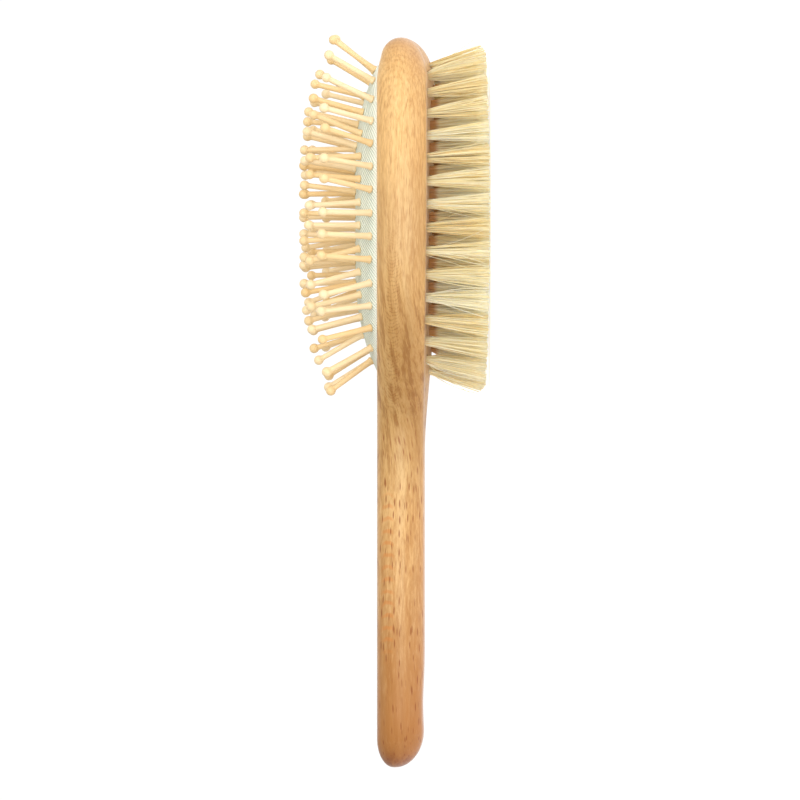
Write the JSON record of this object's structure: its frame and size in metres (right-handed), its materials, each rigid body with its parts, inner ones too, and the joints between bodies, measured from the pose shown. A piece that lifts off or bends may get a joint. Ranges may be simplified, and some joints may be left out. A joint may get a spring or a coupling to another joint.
{
  "type": "double-sided brush",
  "caption": "Wooden paddle brush with a handle: an air cushion with ball-tipped wooden pins on one face and trimmed natural-fibre tufts on the other.",
  "frame": {"origin": "middle of the brush on the surface it lies on, bristle tips down", "axes": "+X from the handle to the tip of the head, +Z out of the pin side, +Y to the left of someone who looks from the handle to the head"},
  "size_m": [0.2214, 0.056, 0.0575],
  "materials": {
    "beech": "satin lacquered light orange-tan beech",
    "pin_wood": "pale turned wood, smooth, unlacquered",
    "canvas": "off-white twill canvas with a faint green tint",
    "rubber": "matt natural rubber",
    "bristle": "pale straw natural fibre, trimmed",
    "staple_wire": "flat steel wire"
  },
  "bodies": {
    "brush_body": {"wood_body": "beech", "cushion_canvas": "canvas", "cushion_rubber": "rubber", "tufts_bearing": "bristle", "tufts_outer_left": "bristle", "tufts_outer_right": "bristle", "tufts_middle_left": "bristle", "tufts_middle_right": "bristle", "tufts_inner_left": "bristle", "tufts_inner_right": "bristle", "tufts_centre_row": "bristle", "staples_outer": "staple_wire", "staples_middle": "staple_wire", "staples_inner": "staple_wire", "staples_centre_row": "staple_wire"},
    "pins_centre_row": {"pins_centre_row": "pin_wood"},
    "pins_outer_left": {"pins_outer_left": "pin_wood"},
    "pins_outer_right": {"pins_outer_right": "pin_wood"},
    "pins_middle_left": {"pins_middle_left": "pin_wood"},
    "pins_middle_right": {"pins_middle_right": "pin_wood"},
    "pins_inner_left": {"pins_inner_left": "pin_wood"},
    "pins_inner_right": {"pins_inner_right": "pin_wood"}
  },
  "joints": [
    {"name": "cushion_press", "type": "slide", "parent": "brush_body", "child": "pins_centre_row", "axis": [0, 0, -1], "range_m": [0, 0.0035], "stiffness_N_per_m": 3000, "deforming": ["cushion_canvas", "cushion_rubber"]},
    {"name": "outer_left_sink", "type": "slide", "parent": "brush_body", "child": "pins_outer_left", "axis": [0, 0, -1], "range_m": [0, 0.0007771]},
    {"name": "outer_right_sink", "type": "slide", "parent": "brush_body", "child": "pins_outer_right", "axis": [0, 0, -1], "range_m": [0, 0.0007771]},
    {"name": "middle_left_sink", "type": "slide", "parent": "brush_body", "child": "pins_middle_left", "axis": [0, 0, -1], "range_m": [0, 0.00247]},
    {"name": "middle_right_sink", "type": "slide", "parent": "brush_body", "child": "pins_middle_right", "axis": [0, 0, -1], "range_m": [0, 0.00247]},
    {"name": "inner_left_sink", "type": "slide", "parent": "brush_body", "child": "pins_inner_left", "axis": [0, 0, -1], "range_m": [0, 0.00328]},
    {"name": "inner_right_sink", "type": "slide", "parent": "brush_body", "child": "pins_inner_right", "axis": [0, 0, -1], "range_m": [0, 0.00328]}
  ],
  "couplings": [
    {"joint": "outer_left_sink", "follows": "cushion_press", "ratio": 0.22175},
    {"joint": "outer_right_sink", "follows": "cushion_press", "ratio": 0.22175},
    {"joint": "middle_left_sink", "follows": "cushion_press", "ratio": 0.7052},
    {"joint": "middle_right_sink", "follows": "cushion_press", "ratio": 0.7052},
    {"joint": "inner_left_sink", "follows": "cushion_press", "ratio": 0.93782},
    {"joint": "inner_right_sink", "follows": "cushion_press", "ratio": 0.93782}
  ]
}
